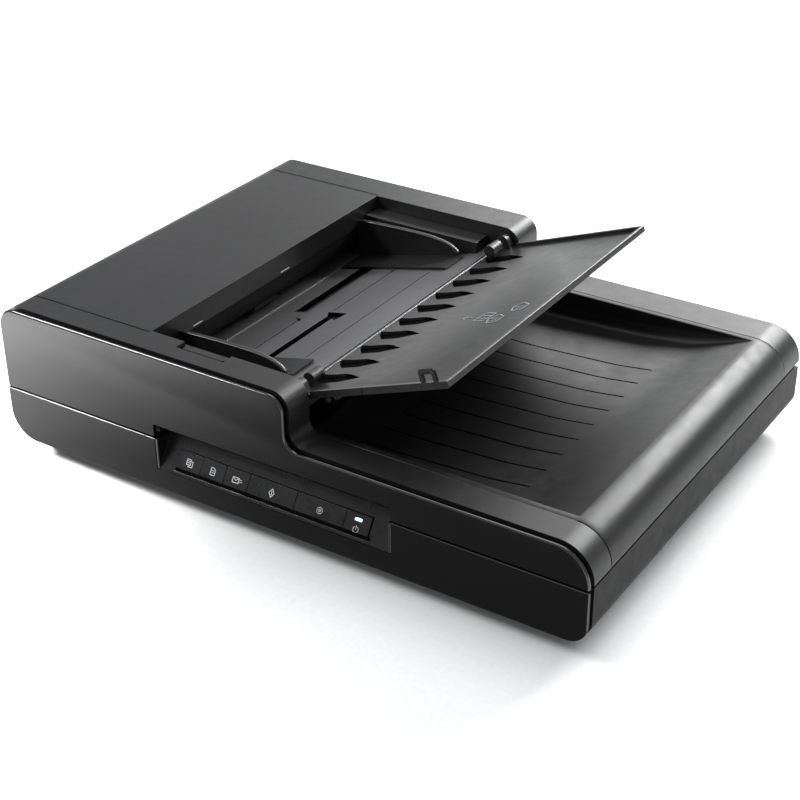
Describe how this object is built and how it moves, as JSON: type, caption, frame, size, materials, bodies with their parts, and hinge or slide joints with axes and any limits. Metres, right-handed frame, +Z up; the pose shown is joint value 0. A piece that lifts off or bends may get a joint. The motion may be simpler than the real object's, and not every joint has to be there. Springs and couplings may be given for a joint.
{
  "type": "document scanner",
  "caption": "Flatbed document scanner with a sheet feeder on its hinged lid, folding feed tray, output dish and sloping button panel.",
  "frame": {"origin": "on the table, under the middle of the machine's footprint", "axes": "+X along the width with the output tray at +X, the front faces -Y, +Z up"},
  "size_m": [0.469, 0.335, 0.1494],
  "materials": {
    "satin_shell": "fine textured satin black ABS",
    "gloss_front": "polished piano black ABS",
    "inner_black": "smooth moulded black ABS",
    "platen_glass": "clear float glass",
    "white_backing": "white foam and sheet",
    "bright_steel": "ground bright steel",
    "zinc_steel": "zinc plated steel sheet",
    "circuit_board": "green solder resist",
    "roller_rubber": "dark grey roller rubber",
    "black_rubber": "black rubber",
    "grey_acetal": "moulded grey acetal",
    "power_light": "clear lens lit from behind"
  },
  "bodies": {
    "base": {"base_pan": "satin_shell", "base_top_frame": "satin_shell", "platen_glass": "platen_glass", "scan_strip_glass": "platen_glass", "lower_front_cover": "gloss_front", "control_panel": "gloss_front", "control_board": "circuit_board", "main_board": "circuit_board", "power_jack": "inner_black", "usb_socket": "bright_steel", "front_left_foot": "black_rubber", "front_right_foot": "black_rubber", "rear_left_foot": "black_rubber", "rear_right_foot": "black_rubber", "left_hinge_bracket": "zinc_steel", "right_hinge_bracket": "zinc_steel", "left_hinge_pin": "bright_steel", "right_hinge_pin": "bright_steel", "guide_rod": "bright_steel", "carriage_motor": "zinc_steel", "carriage_belt": "black_rubber"},
    "carriage": {"scan_carriage": "inner_black", "image_sensor": "grey_acetal"},
    "drive_pulley": {"drive_pulley": "grey_acetal"},
    "idler_pulley": {"idler_pulley": "grey_acetal"},
    "copy_button": {"copy_button": "gloss_front"},
    "file_button": {"file_button": "gloss_front"},
    "mail_button": {"mail_button": "gloss_front"},
    "start_button": {"start_button": "gloss_front"},
    "stop_button": {"stop_button": "gloss_front"},
    "power_button": {"power_button": "gloss_front", "power_light_lens": "power_light"},
    "lid": {"lid_frame": "satin_shell", "upper_front_cover": "gloss_front", "lid_base": "satin_shell", "output_tray": "satin_shell", "document_mat": "white_backing", "feed_floor": "inner_black", "front_ledge": "satin_shell", "rear_ledge": "satin_shell", "turn_guide": "inner_black", "exit_guide": "inner_black", "scan_backing_plate": "white_backing", "adf_drive_plate": "zinc_steel", "adf_motor": "zinc_steel", "adf_belt": "black_rubber"},
    "adf_cover": {"adf_cover": "satin_shell"},
    "feed_tray": {"feed_tray": "satin_shell"},
    "front_guide": {"front_guide": "satin_shell"},
    "rear_guide": {"rear_guide": "satin_shell"},
    "guide_pinion": {"guide_pinion": "grey_acetal"},
    "transport_roller": {"transport_roller": "roller_rubber"},
    "transport_pinch_roller": {"transport_pinch_roller": "grey_acetal"},
    "eject_roller": {"eject_roller": "roller_rubber"},
    "eject_pinch_roller": {"eject_pinch_roller": "grey_acetal"},
    "motor_pulley": {"motor_pulley": "grey_acetal"},
    "feed_roller": {"feed_roller": "roller_rubber"},
    "pick_arm": {"pick_arm": "inner_black"},
    "pick_roller": {"pick_roller": "roller_rubber"},
    "separation_roller": {"separation_roller": "roller_rubber"}
  },
  "joints": [
    {"name": "lid_hinge", "type": "hinge", "parent": "base", "child": "lid", "pos_m": [0, 0.1633, 0.057], "axis": [-1, 0, 0], "range_deg": [0, 80]},
    {"name": "adf_cover_hinge", "type": "hinge", "parent": "lid", "child": "adf_cover", "pos_m": [-0.2315, 0, 0.0965], "axis": [0, -1, 0], "range_deg": [0, 75]},
    {"name": "feed_tray_hinge", "type": "hinge", "parent": "lid", "child": "feed_tray", "pos_m": [0.0035, 0, 0.111], "axis": [0, -1, 0], "range_deg": [0, 159.5]},
    {"name": "carriage_slide", "type": "slide", "parent": "base", "child": "carriage", "axis": [1, 0, 0], "range_m": [0, 0.375]},
    {"name": "drive_pulley_spin", "type": "hinge", "parent": "base", "child": "drive_pulley", "pos_m": [-0.1985, 0.034, 0.0265], "axis": [0, 0, 1], "continuous": true},
    {"name": "idler_pulley_spin", "type": "hinge", "parent": "base", "child": "idler_pulley", "pos_m": [0.2145, 0.034, 0.0265], "axis": [0, 0, 1], "continuous": true},
    {"name": "copy_button_press", "type": "slide", "parent": "base", "child": "copy_button", "axis": [0, 0.8358, -0.549], "range_m": [0, 0.0008], "stiffness_N_per_m": 800},
    {"name": "file_button_press", "type": "slide", "parent": "base", "child": "file_button", "axis": [0, 0.8358, -0.549], "range_m": [0, 0.0008], "stiffness_N_per_m": 800},
    {"name": "mail_button_press", "type": "slide", "parent": "base", "child": "mail_button", "axis": [0, 0.8358, -0.549], "range_m": [0, 0.0008], "stiffness_N_per_m": 800},
    {"name": "start_button_press", "type": "slide", "parent": "base", "child": "start_button", "axis": [0, 0.8358, -0.549], "range_m": [0, 0.0008], "stiffness_N_per_m": 800},
    {"name": "stop_button_press", "type": "slide", "parent": "base", "child": "stop_button", "axis": [0, 0.8358, -0.549], "range_m": [0, 0.0008], "stiffness_N_per_m": 800},
    {"name": "power_button_press", "type": "slide", "parent": "base", "child": "power_button", "axis": [0, 0.8358, -0.549], "range_m": [0, 0.0008], "stiffness_N_per_m": 800},
    {"name": "front_guide_slide", "type": "slide", "parent": "lid", "child": "front_guide", "axis": [0, 1, 0], "range_m": [0, 0.08]},
    {"name": "rear_guide_slide", "type": "slide", "parent": "lid", "child": "rear_guide", "axis": [0, -1, 0], "range_m": [0, 0.08]},
    {"name": "guide_pinion_spin", "type": "hinge", "parent": "lid", "child": "guide_pinion", "pos_m": [-0.077, 0, 0.08601], "axis": [-0.2329, 0, 0.9725], "range_deg": [-5, 335]},
    {"name": "transport_roller_spin", "type": "hinge", "parent": "lid", "child": "transport_roller", "pos_m": [-0.203, 0, 0.0665], "axis": [0, -1, 0], "continuous": true},
    {"name": "transport_pinch_spin", "type": "hinge", "parent": "lid", "child": "transport_pinch_roller", "pos_m": [-0.203, 0, 0.0804], "axis": [0, -1, 0], "continuous": true},
    {"name": "eject_roller_spin", "type": "hinge", "parent": "lid", "child": "eject_roller", "pos_m": [-0.016, 0, 0.0764], "axis": [0, -1, 0], "continuous": true},
    {"name": "eject_pinch_spin", "type": "hinge", "parent": "lid", "child": "eject_pinch_roller", "pos_m": [-0.016, 0, 0.066], "axis": [0, -1, 0], "continuous": true},
    {"name": "motor_pulley_spin", "type": "hinge", "parent": "lid", "child": "motor_pulley", "pos_m": [-0.1125, 0, 0.095], "axis": [0, -1, 0], "continuous": true},
    {"name": "feed_roller_spin", "type": "hinge", "parent": "lid", "child": "feed_roller", "pos_m": [-0.16, 0, 0.0842], "axis": [0, -1, 0], "continuous": true},
    {"name": "pick_arm_lift", "type": "hinge", "parent": "lid", "child": "pick_arm", "pos_m": [-0.16, 0, 0.0842], "axis": [0, -1, 0], "range_deg": [0, 10]},
    {"name": "pick_roller_spin", "type": "hinge", "parent": "pick_arm", "child": "pick_roller", "pos_m": [-0.135, 0, 0.08229], "axis": [0, -1, 0], "continuous": true},
    {"name": "separation_roller_spin", "type": "hinge", "parent": "lid", "child": "separation_roller", "pos_m": [-0.16, 0, 0.0668], "axis": [0, -1, 0], "continuous": true}
  ],
  "couplings": [
    {"joint": "rear_guide_slide", "follows": "front_guide_slide", "ratio": 1},
    {"joint": "guide_pinion_spin", "follows": "front_guide_slide", "rad_per_m": 71.429},
    {"joint": "drive_pulley_spin", "follows": "carriage_slide", "rad_per_m": 144.93},
    {"joint": "idler_pulley_spin", "follows": "carriage_slide", "rad_per_m": 144.93},
    {"joint": "eject_roller_spin", "follows": "transport_roller_spin", "ratio": 1},
    {"joint": "motor_pulley_spin", "follows": "transport_roller_spin", "ratio": 0.8841},
    {"joint": "transport_pinch_spin", "follows": "transport_roller_spin", "ratio": -2.375},
    {"joint": "eject_pinch_spin", "follows": "transport_roller_spin", "ratio": -1.5},
    {"joint": "feed_roller_spin", "follows": "transport_roller_spin", "ratio": -0.8636},
    {"joint": "pick_roller_spin", "follows": "transport_roller_spin", "ratio": -1.1176}
  ]
}
